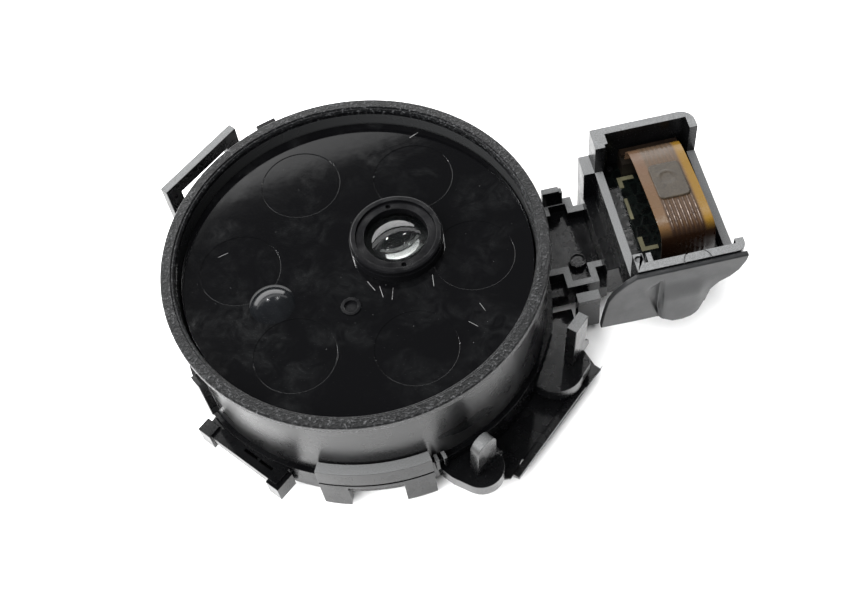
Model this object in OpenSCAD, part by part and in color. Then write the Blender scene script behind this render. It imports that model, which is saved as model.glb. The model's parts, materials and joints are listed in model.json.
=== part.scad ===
// Lidar scanner module: a fixed drum with a spinning optical disc, a direct-drive motor,
// contactless power and data, and a side arm that carries a connector box.
// Origin: on the drum axis at the resting face. +Z is up, +X runs along the side arm.

/* [Drum] */
// Height of the rim's top above the resting face
drum_h = 28; // [27:0.5:30]
// Outer radius of the textured rim
rim_r = 33; // [32.8:0.1:33.4]
// Height of the rim ring
rim_h = 1.4; // [1:0.1:1.8]
// Inner radius of the rim and of the drum wall
bore_r = 30.6; // [30.5:0.05:30.8]
// Outer radius of the drum wall
wall_r = 32.3; // [32:0.1:32.6]
// Outer radius of the base ring
ring_r = 33.2; // [33:0.1:33.4]
// Underside of the base ring
ring_low = 4.2; // [4:0.1:4.4]
// Top of the base ring, where the drum wall stands
ring_top = 10; // [9.6:0.1:10.4]
// Radius of the base pan
pan_r = 29.5; // [29.3:0.1:29.8]
// Thickness of the base pan's floor
pan_t = 1.6; // [1.2:0.1:1.8]

/* [Scan disc and optics] */
// Radius of the spinning disc
disc_r = 30.2; // [29.8:0.05:30.3]
// Height of the disc's top face
disc_top = 24.5; // [24:0.1:25]
// Thickness of the disc
disc_t = 1.6; // [1.4:0.1:1.8]
// Angle of the line through lens and emitter at rest
optics_angle = 17; // [0:1:359]
// Distance of the receiver lens from the axis
lens_offset = 7.9; // [7.6:0.1:8.2]
// Distance of the emitter from the axis
emitter_offset = 15.9; // [15.6:0.1:16.4]
// Outer radius of the lens barrel's flange
barrel_r = 8.1; // [7.9:0.1:8.3]
// Radius of the emitter's dome
dome_r = 3.9; // [3.8:0.1:4]
// Rise of the emitter's dome above the disc
dome_h = 1.8; // [1.6:0.1:2]
// Radius of the shallow lobes in the disc
lobe_r = 7; // [6:0.5:7]

/* [Bearings and motor] */
// Radius of the hollow shaft
shaft_r = 2; // [2:0.5:2]
// Outer radius of the ball bearings
race_r = 5; // [5:0.5:5]
// Width of a ball bearing
race_w = 4; // [4:0.5:4]
// Radius of a bearing ball
ball_r = 0.75; // [0.7:0.01:0.76]
// Balls in one bearing
ball_count = 7; // [5:1:7]
// Teeth on the stator
tooth_count = 9; // [6:3:12]
// Slots in the encoder ring
flag_count = 15; // [9:1:20]

/* [Side arm and connector box] */
// Left face of the connector box
box_x0 = 45; // [44.8:0.1:45.2]
// Right face of the connector box
box_x1 = 63.6; // [63.2:0.1:64]
// Inner face of the front wall
box_y0 = -13.2; // [-13.4:0.1:-13]
// Rear face of the connector box
box_y1 = 16; // [15.8:0.1:16.2]
// Top of the front and rear walls
box_top = 26; // [25.5:0.1:26.5]
// Top of the two side walls
side_top = 19.2; // [19:0.1:19.6]
// Underside of the connector box
box_low = 12; // [11.8:0.1:12.2]
// Wall thickness of the connector box
box_t = 1.5; // [1.4:0.1:1.7]
// Top of the side arm's walls
arm_top = 10; // [9.6:0.1:10.4]
// Left edge of the flex cable in the box
flex_x0 = 50.7; // [50.5:0.1:51]
// Width of the flex cable
flex_w = 9.3; // [9:0.1:9.5]

/* [Hidden] */
$fn = 96;

eps = 0.01;
thin = 0.2;

// Levels of the stack, from the base up
pcb_z = 2.4;
pcb_t = 1.2;
pcb_top = pcb_z + pcb_t;
lower_race_z = 5.6;
upper_race_z = 10.2;
tube_top = upper_race_z + race_w;
cup_top = tube_top + 1.6;
plate_top = cup_top + 1.2;
power_top = cup_top - 1.8;
rotor_pcb_z = 18;
rotor_pcb_top = rotor_pcb_z + pcb_t;
disc_low = disc_top - disc_t;
wall_top = drum_h - rim_h;

// Radii of the motor and of the power coils
tube_r = 6.4;
motor_flange_r = 10;
stator_r = 11.2;
magnet_r = 13.2;
cup_r = 14.2;
coil_r0 = 16;
coil_r1 = 21;
flag_r0 = 24;
flag_r1 = 25.2;
ball_pitch = (shaft_r + race_r) / 2;

// Fixings of the two round boards
screw_ring = 25;
post_ring = 23;
thread_r = 0.8;
motor_screw_ring = 8.3;
motor_thread_r = 0.6;

module ring(r0, r1, z0, z1) {
    translate([0, 0, z0]) difference() {
        cylinder(r = r1, h = z1 - z0);
        translate([0, 0, -1]) cylinder(r = r0, h = z1 - z0 + 2);
    }
}

module post(r, z0, z1) {
    translate([0, 0, z0]) cylinder(r = r, h = z1 - z0);
}

// Box between two corners
module span(low, high) {
    translate(low) cube(high - low);
}

module at_polar(r, angle) {
    rotate([0, 0, angle]) translate([r, 0, 0]) children();
}

module around(count, r, first = 0) {
    for (i = [0:count - 1]) at_polar(r, first + i * 360 / count) children();
}

module at_lens() {
    at_polar(lens_offset, optics_angle) children();
}

module at_emitter() {
    at_polar(emitter_offset, optics_angle + 180) children();
}

// Pie-shaped prism between two angles less than 180 degrees apart
module sector(a0, a1, z0, z1, r = 60) {
    mid = (a0 + a1) / 2;
    reach = r / cos((a1 - a0) / 4);
    translate([0, 0, z0]) linear_extrude(z1 - z0)
        polygon([[0, 0], reach * [cos(a0), sin(a0)], reach * [cos(mid), sin(mid)],
            reach * [cos(a1), sin(a1)]]);
}

// Curved slab: the part of a ring that lies between two angles
module arc_slab(r0, r1, a0, a1, z0, z1) {
    intersection() {
        ring(r0, r1, z0, z1);
        sector(a0, a1, z0 - 1, z1 + 1);
    }
}

// Flat band of even thickness along a list of 2D points
function unit(v) = v / norm(v);
function band_dir(p, i) = i == 0 ? unit(p[1] - p[0])
    : i == len(p) - 1 ? unit(p[i] - p[i - 1])
    : unit(unit(p[i] - p[i - 1]) + unit(p[i + 1] - p[i]));
function band_side(p, t) = [for (i = [0:len(p) - 1])
    p[i] + t * [-band_dir(p, i)[1], band_dir(p, i)[0]]];
module band(points, t) {
    far_side = band_side(points, -t / 2);
    polygon(concat(band_side(points, t / 2),
        [for (i = [len(points) - 1:-1:0]) far_side[i]]));
}

// ---------- base and drum ----------

pan_in = pan_r - 1.2;
slot_y0 = -3.8;
slot_y1 = 6.7;
flange_top = ring_low + 1.2;
tongue_z = 3;
latch_r = 34.4;
latch_in = 32.5;
clip_angle = 220.5;
clip_face = 34.2;
tray_screws = [35, 40.8];

// Curved block at the front with a window that is open downwards
module front_latch() {
    difference() {
        arc_slab(latch_in, latch_r, -114, -81, 1.2, 13.6);
        sector(-106, -90, 0, 8);
        ring(latch_r - 0.35, latch_r + 1, 8.9, 9.3);
    }
    for (a = [-80, -77.6]) arc_slab(latch_in, ring_r + 0.8, a, a + 1.2, 8.2, 11.4);
}

// Low clip at the left: a straight bar with two pockets behind its right half
module left_clip() rotate([0, 0, clip_angle]) difference() {
    union() {
        span([30, -8, 6.6], [clip_face + 1.2, 9, 9]);
        span([clip_face - 2, 7, 4.4], [clip_face + 1.8, 9.8, 8.4]);
        span([clip_face - 1, -8.6, 5.2], [clip_face + 1.6, -5.8, 9.6]);
    }
    span([ring_r + 0.2, 0.4, 7], [clip_face - 0.2, 3.4, 10]);
    span([ring_r + 0.2, 3.9, 7], [clip_face - 0.2, 6.8, 10]);
    post(latch_in, 0, drum_h);
}

module lower_housing() color("#1b1c1e") difference() {
    union() {
        rotate_extrude() polygon([[0, 0], [pan_r, 0], [pan_r, ring_low], [ring_r, ring_low],
            [ring_r, ring_top], [31.5, ring_top], [31.5, flange_top], [pan_in, flange_top],
            [pan_in, pan_t], [0, pan_t]]);
        ring(tube_r, motor_flange_r, 0, pcb_z);
        around(4, screw_ring, 45) post(2, 0, pcb_z);
        difference() {
            span([27, 7, tongue_z], [37.4, 11, 4.4]);
            post(pan_r - 1, 0, ring_top);
        }
        front_latch();
        left_clip();
    }
    around(4, screw_ring, 45) post(thread_r, 0.8, pcb_z + 1);
    around(3, motor_screw_ring, 0) post(motor_thread_r, 0.8, pcb_z + 1);
    translate([tray_screws[0], 9, 0]) post(thread_r, 0, ring_top);
    span([28, slot_y0, flange_top], [ring_r + 1, slot_y1, 6.6]);
}

module drum_housing() color("#222325") {
    ring(bore_r, wall_r, ring_top, wall_top);
    ring(bore_r, 31.4, 8, ring_top);
    // Thin rib low on the left and a short snap nose at the back
    arc_slab(wall_r - 0.5, wall_r + 1.5, 206, 210, 13.6, 24);
    arc_slab(wall_r - 0.5, wall_r + 3.9, 105, 111, 22.5, 25);
}

// Textured rim with a smooth inner chamfer
module rim_ring() color("#2a2b2d") rotate_extrude()
    polygon([[bore_r, wall_top], [rim_r, wall_top], [rim_r, drum_h - 0.2],
        [rim_r - 0.2, drum_h], [31.3, drum_h], [31.1, drum_h - 0.25],
        [30.9, drum_h - 0.25], [bore_r, drum_h - 0.6]]);

// ---------- latch hoop and post bracket ----------

hoop_angle = 129.5;
hoop_face = 37.2;
hoop_t = 1.6;
hoop_w = 18;
hoop_leg = 3;
hoop_top = drum_h - 3;

// Tall loop behind the drum: two legs and a crossbar on stepped feet
module rear_latch_hoop() color("#1b1c1e") rotate([0, 0, hoop_angle]) difference() {
    union() {
        span([hoop_face, -hoop_w / 2, ring_low], [hoop_face + hoop_t, hoop_w / 2, hoop_top]);
        for (side = [-1, 1]) translate([0, side * (hoop_w - hoop_leg) / 2, 0])
            span([30, -hoop_leg / 2, ring_low], [hoop_face + eps, hoop_leg / 2, 8]);
    }
    span([hoop_face - 1, -hoop_w / 2 + hoop_leg, 6],
        [hoop_face + 3, hoop_w / 2 - hoop_leg, hoop_top - 2.9]);
    post(ring_r, 0, drum_h);
}

bracket_angle = -47.6;
plate_z = 3.4;
plate_t = 0.6;
strip_t = 0.9;
ear_low = 5;
ear_top = 8;
front_post_top = 17;
side_post_top = 18;
// Each lug is a round end on a tapering arm from the base ring
front_ear_pos = [13.2, -34.3];
front_ear_r = 3.95;
front_ear_arm = [[5, -30], [6.3, -33], [8.2, -35.3], [10.4, -37.1], [13, -36], [16.6, -33], [15, -30]];
side_ear_pos = [29.9, -18.9];
side_ear_r = 5.1;
side_ear_arm = [[22, -20], [25.2, -20.9], [30, -21], [33.8, -21.9], [35.9, -19.9], [35.9, -18.4],
    [34.6, -14], [30, -12]];
plate_shape = [[13, -28], [16, -35.6], [17.8, -35.9], [19.2, -34.6], [20.4, -32.8], [22, -32.9],
    [38.1, -19.3], [37.2, -18.2], [36.2, -15], [36.2, -6], [28, -6], [28, -12]];

// Wedge at the foot of a snap post, against its inner face
module post_wedge(size) {
    translate([size[0] / 2 - 0.6, 0, -0.5]) rotate([90, 0, 0]) translate([0, 0, -size[1] / 2])
        linear_extrude(size[1]) polygon([[0, 0], [2.2, 0], [2.2, 1.2], [0, 4]]);
}

// Upright snap post that leans a little; size is its width, thickness and height
module square_post(size, lean) {
    rotate([0, -lean, 0]) translate([-size[0] / 2, -size[1] / 2, 0]) cube(size);
    post_wedge(size);
}

module round_post(size, lean) {
    rotate([0, -lean, 0]) rotate([90, 0, 0]) translate([0, 0, -size[1] / 2]) linear_extrude(size[1]) {
        translate([-size[0] / 2, 0]) square([size[0], size[2] - size[0] / 2]);
        translate([0, size[2] - size[0] / 2]) circle(r = size[0] / 2);
    }
    post_wedge(size);
}

// One moulding: a thin plate under two round lugs that each carry a snap post
module post_bracket() color("#1b1c1e") difference() {
    union() {
        translate([0, 0, plate_z]) linear_extrude(plate_t) polygon(plate_shape);
        rotate([0, 0, bracket_angle + 90]) translate([0, -39.6, plate_z])
            span([-10.3, -0.1, 0], [10.5, 1.2, strip_t]);
        translate(front_ear_pos) post(front_ear_r, ear_low, ear_top);
        translate([0, 0, ear_low]) linear_extrude(ear_top - ear_low) polygon(front_ear_arm);
        translate(side_ear_pos) post(side_ear_r, ear_low, ear_top);
        translate([0, 0, ear_low]) linear_extrude(ear_top - ear_low) polygon(side_ear_arm);
        // Webs from the plate up to the lugs
        translate([15.4, -33.8, plate_z]) post(1.2, 0, ear_low - plate_z + 1);
        translate([31.8, -21.2, plate_z]) post(1.2, 0, ear_low - plate_z + 1);
        translate([13.6, -34.2, ear_top - eps]) rotate([0, 0, 34])
            round_post([4.4, 1.9, front_post_top - ear_top], -4);
        translate([33.6, -17.6, ear_top - eps]) rotate([0, 0, 45])
            square_post([4, 1.9, side_post_top - ear_top], -6);
    }
    post(ring_r, ring_low - 0.02, drum_h);
    post(pan_r, 0, ring_low);
}

// ---------- side arm ----------

tray_floor = 6.6;
tray_in = 7.8;
tray_end = 43;
boss_pos = [39.1, 0.8];

// Open tray between the drum and the box, with a raised tab and an outward pocket
module side_arm_tray() color("#1b1c1e") difference() {
    union() {
        span([28, -2, tray_floor], [tray_end, 12.8, tray_in]);
        // Rear wall with its step, stub and tab
        span([28, 12.8, 4.4], [41.2, 14.2, arm_top]);
        span([39.8, 10.6, 4.4], [41.2, 12.9, arm_top]);
        span([41.1, 10.6, 4.4], [tray_end, 12, arm_top]);
        span([35.2, 10.8, tray_in - eps], [36.6, 12.9, arm_top]);
        span([35.6, 13, arm_top - eps], [39.4, 14.2, 13.4]);
        span([35.6, 13, 13.4 - eps], [38.8, 14.2, 14]);
        // Front wall with the outward pocket
        span([28, -2, tray_floor], [37, -0.7, arm_top]);
        span([28, -5.2, tray_floor], [tray_end, -1.9, tray_in - 0.2]);
        span([28, -5.2, 4.4], [35.8, -3.9, tray_in - 0.2]);
        span([41.5, -5.2, 4.4], [tray_end, -3.9, tray_in - 0.2]);
        span([35.7, -5.2, tray_floor], [37, -1.9, arm_top]);
        span([35.7, -5.2, 4.4], [41.6, -3.9, arm_top]);
        span([40.3, -5.2, tray_floor], [41.6, -1.9, arm_top]);
        span([40.3, -2.1, tray_floor], [tray_end, -0.8, arm_top]);
        span([36.9, -4, tray_floor], [40.4, -1.9, 8.6]);
        // Stop block in front of the pocket
        span([36.4, -9.5, 2.6], [40.5, -7.9, 12]);
        span([36.4, -9.9, 11.2], [40.5, -7.9, 12]);
        span([37.4, -8, 4.4], [39.6, -5, 8]);
        // Round boss and the screw bosses
        translate(boss_pos) post(1.6, tray_in - eps, 9);
        for (x = tray_screws) translate([x, 9, 0]) post(2, 4.4, tray_in);
    }
    translate(boss_pos) post(1.2, 8.7, 10);
    for (x = tray_screws) translate([x, 9, 0]) post(thread_r, 4, 7);
    post(ring_r, 0, drum_h);
}

// ---------- connector box ----------

pass_y0 = slot_y0 + 0.2;
pass_y1 = slot_y1 - 0.2;
board_z = 16;
board_x0 = box_x0 + box_t + 0.3;
board_x1 = box_x1 - box_t - 0.3;
board_y0 = -8.6;
pin_x = 48.2;
pin_y = [-7.2, 13];
box_in0 = box_x0 + box_t;
box_in1 = box_x1 - box_t;
front_wall = 1.6;

// Cutter that rounds one upright corner; it is placed at the rounding's centre
module corner_cut(r, angle) {
    rotate([0, 0, angle]) difference() {
        translate([0, 0, -1]) cube([r + 1, r + 1, drum_h + 2]);
        translate([0, 0, -2]) cylinder(r = r, h = drum_h + 4);
    }
}

module connector_box() color("#1b1c1e") difference() {
    union() {
        difference() {
            span([box_x0, box_y0 - front_wall, box_low], [box_x1, box_y1, box_top]);
            span([box_in0, box_y0, box_low + 1.4], [box_in1, box_y1 - box_t, box_top + 1]);
            // The side walls are lower than the front and rear walls
            span([box_x0 - 1, -11.2, side_top], [box_in0 + eps, 11.6, box_top + 1]);
            span([box_in1 - eps, -12.3, side_top], [box_x1 + 1, 12, box_top + 1]);
            translate([box_x1 - 2.6, box_y1 - 2.6, 0]) corner_cut(2.6, 0);
            translate([box_x1 - 1.6, box_y0 - front_wall + 1.6, 0]) corner_cut(1.6, -90);
        }
        // Neck that meets the side arm
        span([tray_end, -4.6, 4.4], [box_x0 + 3.6, 12, box_low]);
        span([38.6, 7, tongue_z], [box_x0 + 3.6, 11, 4.4]);
        // Step beside the rear left corner
        span([tray_end, 11.6, 4.4], [box_x0, 15.8, side_top]);
        // Corner block with its rib at the back, corner post with its rib at the front
        span([box_in0 - eps, 11.6, box_low], [box_in0 + 0.3, box_y1 - box_t, box_top]);
        span([46.4, 12.3, board_z + 5], [47.4, box_y1 - box_t + eps, box_top]);
        span([box_in0 - eps, box_y0 - eps, box_low], [box_in0 + 0.3, -11, box_top - 0.4]);
        span([47.2, box_y0 - eps, board_z + 5], [48.1, -11.4, box_top]);
        // Ledges and pins for the board
        span([box_in0 - eps, 11.4, box_low], [box_in1 + eps, box_y1 - box_t + eps, board_z]);
        span([box_in0 - eps, board_y0, box_low], [49.2, -5.6, board_z]);
        for (y = pin_y) translate([pin_x, y, 0]) post(0.6, board_z - 1, board_z + 1.6);
    }
    // Way for the flex cable under the neck and up through the floor
    span([tray_end - 1, pass_y0, 4.3], [box_x0 + 2.6, pass_y1, 6.6]);
    span([46.2, pass_y0, 4.3], [box_x0 + 3.1, pass_y1, box_low + 2]);
    translate([tray_screws[1], 9, 0]) post(thread_r, 0, 7);
    // Shallow marks on the tops of the front post and the front wall
    translate([45.8, -12.3, 0]) post(0.65, box_top - 0.6, drum_h);
    translate([55.2, -15, 0]) ring(2.2, 2.4, box_top - 0.2, drum_h);
    // The front lower right corner is cut away
    translate([0, -11, 0]) rotate([90, 0, 0]) linear_extrude(6)
        polygon([[57.4, box_low - 1], [box_x1 + 1, box_low - 1], [box_x1 + 1, 21], [61.2, 19.8],
            [58.6, 17]]);
}

cover_t = 1;
cover_top = box_top - 0.45;
cover_shape = [[44.6, cover_top], [box_x1, cover_top], [63.4, 24], [62.4, 21.6], [61, 20.1],
    [59.2, 19], [57.6, 16.9], [56.9, 14.3], [56, 12.2], [54.7, 11], [53.2, 10.5], [51.4, 10.6],
    [49.8, 11.8], [44, 11.9], [38.8, 12.1], [39.3, 16.4], [39.9, 20], [41, 22.2], [43, 24.4]];

// Front skin of the box with a wing to the left and a rounded swelling at the lower right
module box_front_cover() color("#232426") {
    translate([0, box_y0 - front_wall, 0]) rotate([90, 0, 0]) linear_extrude(cover_t)
        polygon(cover_shape);
    translate([0, box_y0 - front_wall - cover_t + eps, 0]) rotate([90, 0, 0]) linear_extrude(0.8)
        polygon([[51.6, 22.4], [55, 22.8], [58.2, 18.6], [57.2, 16.8], [56.5, 14.3], [55.7, 12.4],
            [54.6, 11.4], [53.2, 10.9], [51.6, 11], [50.4, 12], [50.2, 14]]);
}

module interface_pcb() color("#0c1210") difference() {
    span([board_x0, board_y0, board_z], [board_x1, box_y1 - box_t - 0.3, board_z + 1]);
    for (y = pin_y) translate([pin_x, y, 0]) post(0.65, board_z - 1, board_z + 2);
    span([board_x0 - 1, 11.3, board_z - 1], [box_in0 + 0.4, box_y1, board_z + 2]);
    span([board_x0 - 1, box_y0, board_z - 1], [box_in0 + 0.4, -8, board_z + 2]);
}

// Gold ground pads: L-shaped corners and two side bars
module interface_pads() color("#b89b52") translate([0, 0, board_z + 1]) {
    for (side = [0, 1]) translate([side * (board_x0 + board_x1), 0, 0]) mirror([side, 0, 0]) {
        span([48.9, 8.6, 0], [49.7, 11, 0.1]);
        span([49.69, 10.2, 0], [51.9, 11, 0.1]);
        span([48.9, -5.4, 0], [49.7, -2.4, 0.1]);
        span([49.69, -5.4, 0], [51.9, -4.6, 0.1]);
        span([48.9, 1.6, 0], [49.5, 6.2, 0.1]);
    }
}

// ---------- flex cable and its connectors ----------

// Route over the board, in the Y and Z of the box
flex_arch = [[12.4, 17.8], [12.4, 20.4], [12.2, 22], [11.8, 23], [10.8, 24], [9, 24.6], [7, 25],
    [4, 25.4], [1, 25.8], [-4.5, 26.2], [-7.4, 26.2], [-8.6, 25.8], [-9.3, 24.6], [-9.7, 22.5],
    [-10, 20], [-10, 16], [-9.7, 15], [-9, 14.7], [5.2, 14.7]];
// Route from the fold under the board to the main board, in X and Z
flex_run = [[60, 14.5], [48.6, 14.5], [47.8, 14.2], [47.35, 13.4], [47.3, 12], [47.2, 8],
    [46.9, 6.9], [46.2, 6.1], [45.2, 5.9], [28.2, 5.9], [27.2, 5.3], [26.4, 4.5], [25.6, 4.3],
    [24.6, 4.3]];
flex_y0 = slot_y0 + 0.6;

module flex_cable() color("#b7793a") {
    translate([flex_x0, 0, 0]) rotate([90, 0, 90]) linear_extrude(flex_w) band(flex_arch, thin);
    translate([0, flex_y0 + flex_w, 0]) rotate([90, 0, 0]) linear_extrude(flex_w)
        band(flex_run, thin);
}

// Small stiffened area with a raised dimple on top of the arch
module flex_stiffener() color("#5e574c") translate([52.6, -1.9, 26.26]) rotate([-6.4, 0, 0]) {
    span([0, 0, 0], [5.5, 8, 0.3]);
    translate([2.6, 4.6, 0.29]) intersection() {
        translate([0, 0, -2.2]) sphere(r = 2.7);
        cylinder(r = 2, h = 1);
    }
}

module rear_flex_connector() color("#cfc9b8") difference() {
    span([flex_x0 - 0.8, 11.2, board_z + 1], [flex_x0 + flex_w + 0.8, 14.2, 20.4]);
    span([flex_x0 - 0.05, 12.25, 17.7], [flex_x0 + flex_w + 0.05, 12.55, 21]);
}

// Flip latches: each turns up about a thin pin along its inner lower edge
module rear_connector_latch() color("#3a2a20") {
    span([flex_x0 - 0.6, 12.75, 20.55], [flex_x0 + flex_w + 0.6, 14.1, 21.2]);
    translate([flex_x0 - 0.75, 13.9, 20.75]) rotate([0, 90, 0]) cylinder(r = 0.15, h = flex_w + 1.5);
}

module main_flex_connector() color("#cfc9b8") difference() {
    span([22, flex_y0 - 0.8, pcb_top], [25.6, flex_y0 + flex_w + 0.8, 5.3]);
    span([24.5, flex_y0 - 0.05, 4.15], [26, flex_y0 + flex_w + 0.05, 4.45]);
}

module main_connector_latch() color("#3a2a20") {
    span([24, flex_y0 - 0.6, 5.4], [25.5, flex_y0 + flex_w + 0.6, 6]);
    translate([24.2, flex_y0 - 0.75, 5.6]) rotate([-90, 0, 0]) cylinder(r = 0.15, h = flex_w + 1.5);
}

// ---------- main board ----------

module main_pcb() color("#14402a") difference() {
    post(27.5, pcb_z, pcb_top);
    around(4, screw_ring, 45) post(1.1, 0, pcb_top + 1);
    around(3, motor_screw_ring, 0) post(0.8, 0, pcb_top + 1);
}

module main_pcb_chips() color("#1a1a1a") translate([0, 0, pcb_top]) {
    at_polar(24.2, 90) span([-2.2, -3.5, 0], [2.2, 3.5, 1.1]);
    at_polar(24.4, 120) span([-1.5, -2, 0], [1.5, 2, 1.4]);
    at_polar(24.2, 270) span([-2.2, -2.2, 0], [2.2, 2.2, 0.9]);
    at_polar(24.6, 296) span([-1, -1.6, 0], [1, 1.6, 1.2]);
    at_polar(24.6, 160) span([-1, -1, 0], [1, 1, 2]);
    at_polar(12.4, 200) span([-1.4, -1.4, 0], [1.4, 1.4, 0.8]);
}

module screw(thread, head, tip, seat, top) {
    post(thread, tip, seat);
    post(head, seat, top);
}

module board_screws() color("#9a9ca0") around(4, screw_ring, 45)
    screw(thread_r, 1.7, 1, pcb_top, pcb_top + 1.2);

module motor_screws() color("#9a9ca0") around(3, motor_screw_ring, 0)
    screw(motor_thread_r, 1.2, 1, pcb_top + 1, pcb_top + 1.8);

module arm_screws() color("#9a9ca0") for (x = tray_screws) translate([x, 9, 0]) {
    post(thread_r, tongue_z - eps, 6.8);
    post(1.7, tongue_z - 1.2, tongue_z);
}

// ---------- bearings ----------

bearing_shoulder = 4.2;

// Brass tube with a foot flange and one shoulder between the two bearings
module bearing_tube() color("#b08d3c") difference() {
    rotate_extrude() polygon([[race_r, pcb_top], [motor_flange_r, pcb_top],
        [motor_flange_r, pcb_top + 1], [tube_r, pcb_top + 1], [tube_r, tube_top],
        [race_r, tube_top], [race_r, upper_race_z], [bearing_shoulder, upper_race_z],
        [bearing_shoulder, lower_race_z + race_w], [race_r, lower_race_z + race_w]]);
    around(3, motor_screw_ring, 0) post(0.7, pcb_z, pcb_top + 2);
}

module race(r0, r1, z0) {
    difference() {
        ring(r0, r1, z0, z0 + race_w);
        translate([0, 0, z0 + race_w / 2]) rotate_extrude() translate([ball_pitch, 0])
            circle(r = ball_r + 0.05, $fn = 48);
    }
}

module bearing_outer_races() color("#b9bcc0")
    for (z = [lower_race_z, upper_race_z]) race(4.1, race_r, z);

module bearing_inner_races() color("#b9bcc0")
    for (z = [lower_race_z, upper_race_z]) race(shaft_r, 2.9, z);

module ball_ring(z0, grow) {
    around(ball_count, ball_pitch) translate([0, 0, z0 + race_w / 2])
        sphere(r = ball_r + grow, $fn = 32);
}

module cage(z0) {
    difference() {
        ring(3.2, 3.8, z0 + race_w / 2 - 1.1, z0 + race_w / 2 + 1.1);
        ball_ring(z0, 0.05);
    }
}

module lower_cage() color("#a8854a") cage(lower_race_z);
module upper_cage() color("#a8854a") cage(upper_race_z);
module lower_balls() color("#d5d8dc") ball_ring(lower_race_z, 0);
module upper_balls() color("#d5d8dc") ball_ring(upper_race_z, 0);

// ---------- motor ----------

stator_z0 = 8.2;
stator_z1 = 11.8;
tooth_w = 2.2;

slot_pitch = 360 / tooth_count;

// Ring of laminations with a winding slot and a narrow mouth between each two teeth
module stator_core() color("#7d8084") difference() {
    ring(tube_r, stator_r, stator_z0, stator_z1);
    for (i = [0:tooth_count - 1]) {
        arc_slab(7.6, 10.2, (i + 0.15) * slot_pitch, (i + 0.85) * slot_pitch,
            stator_z0 - 1, stator_z1 + 1);
        at_polar(0, (i + 0.5) * slot_pitch)
            span([10, -0.6, stator_z0 - 1], [stator_r + 1, 0.6, stator_z1 + 1]);
    }
}

module stator_coils() color("#a5562a") around(tooth_count, 0) difference() {
    span([7.8, -1.9, stator_z0 - 0.7], [9.8, 1.9, stator_z1 + 0.7]);
    span([7.7, -tooth_w / 2, stator_z0 - 0.05], [10.2, tooth_w / 2, stator_z1 + 0.05]);
}

module magnet_ring() color("#3c3a3d") ring(11.6, magnet_r, stator_z0 - 0.4, stator_z1 + 1);

// Steel cup that closes the magnets' field and carries the rotor frame
module rotor_cup() color("#8d9094") rotate_extrude()
    polygon([[shaft_r, tube_top], [2.8, tube_top], [2.8, tube_top + 0.5], [magnet_r, tube_top + 0.5],
        [magnet_r, stator_z0 - 0.8], [cup_r, stator_z0 - 0.8], [cup_r, cup_top], [race_r, cup_top],
        [race_r, plate_top], [shaft_r, plate_top]]);

clip_z = lower_race_z - 0.6;

module motor_shaft() color("#c8cbd0") difference() {
    ring(1, shaft_r, clip_z - 0.6, plate_top);
    ring(1.6, shaft_r + 1, clip_z, clip_z + 0.5);
}

// Open retaining ring in the shaft's groove
module shaft_clip() color("#6e7276") difference() {
    ring(1.6, 3.1, clip_z + 0.02, clip_z + 0.48);
    span([0, -0.9, clip_z - 1], [4, 0.9, clip_z + 1]);
}

// ---------- contactless power, data and the encoder ----------

coil_turns = 4;

module coil_stand() color("#2e3033") {
    ring(coil_r0 - 0.4, coil_r0 + 0.6, pcb_top, power_top - 1.4);
    ring(coil_r1 - 0.6, coil_r1 + 0.4, pcb_top, power_top - 1.4);
    ring(coil_r0 + 0.5, coil_r1 - 0.5, power_top - 2.4, power_top - 1.4);
}

module winding(z0) {
    for (i = [0:coil_turns - 1]) ring(16.6 + i * 1.1, 17.5 + i * 1.1, z0, z0 + 0.6);
}

module transmit_ferrite() color("#4a4648") ring(coil_r0, coil_r1, power_top - 1.4, power_top - 0.6);
module transmit_coil() color("#b06a34") winding(power_top - 0.6);
module receive_ferrite() color("#4a4648") ring(coil_r0, coil_r1, cup_top - 0.7, cup_top);
module receive_coil() color("#b06a34") winding(cup_top - 1.3);

flag_root = cup_top - 1.2;

module encoder_ring() color("#17181a") {
    ring(flag_r0, flag_r1, flag_root, cup_top);
    // One flag is left out to mark the start of a turn
    for (i = [1:flag_count - 1])
        arc_slab(flag_r0, flag_r1, (i - 0.25) * 360 / flag_count, (i + 0.25) * 360 / flag_count,
            flag_root - 4, flag_root + eps);
}

module photo_interrupter() color("#1d1d1f") at_polar(24.6, 200) difference() {
    span([-2.7, -2.5, pcb_top], [2.6, 2.5, flag_root - 1.4]);
    span([-1.3, -3, flag_root - 5], [1.3, 3, flag_root]);
}

module data_photodiode() color("#1a1a1a") span([-1.3, -1.3, pcb_top], [1.3, 1.3, pcb_top + 0.6]);
module data_led() color("#d8dde2") span([-1.4, -1.4, plate_top + 0.2], [1.4, 1.4, rotor_pcb_z]);

// ---------- rotor ----------

weight_r = 1;
weight_ring = 26.4;
weight_angle = 75;
rotor_screw_seat = plate_top - 0.1;

module rotor_frame() color("#2c2e31") difference() {
    union() {
        ring(race_r, 28.95, cup_top, plate_top);
        around(4, post_ring, 45) post(2, cup_top, rotor_pcb_z);
    }
    around(2, weight_ring, weight_angle) post(weight_r, 0, drum_h);
    around(4, post_ring, 45) post(1.6, 0, rotor_screw_seat);
    around(4, post_ring, 45) post(1, 0, rotor_pcb_z + 1);
}

module balance_weights() color("#b08d3c") around(2, weight_ring, weight_angle)
    post(weight_r, cup_top + 0.1, plate_top + 0.5);

module rotor_screws() color("#9a9ca0") around(4, post_ring, 45) {
    post(1.5, cup_top + 0.1, rotor_screw_seat);
    post(thread_r, rotor_screw_seat, 22);
}

module rotor_pcb() color("#14402a") difference() {
    post(26.5, rotor_pcb_z, rotor_pcb_top);
    around(4, post_ring, 45) post(1.1, 0, drum_h);
}

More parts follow.
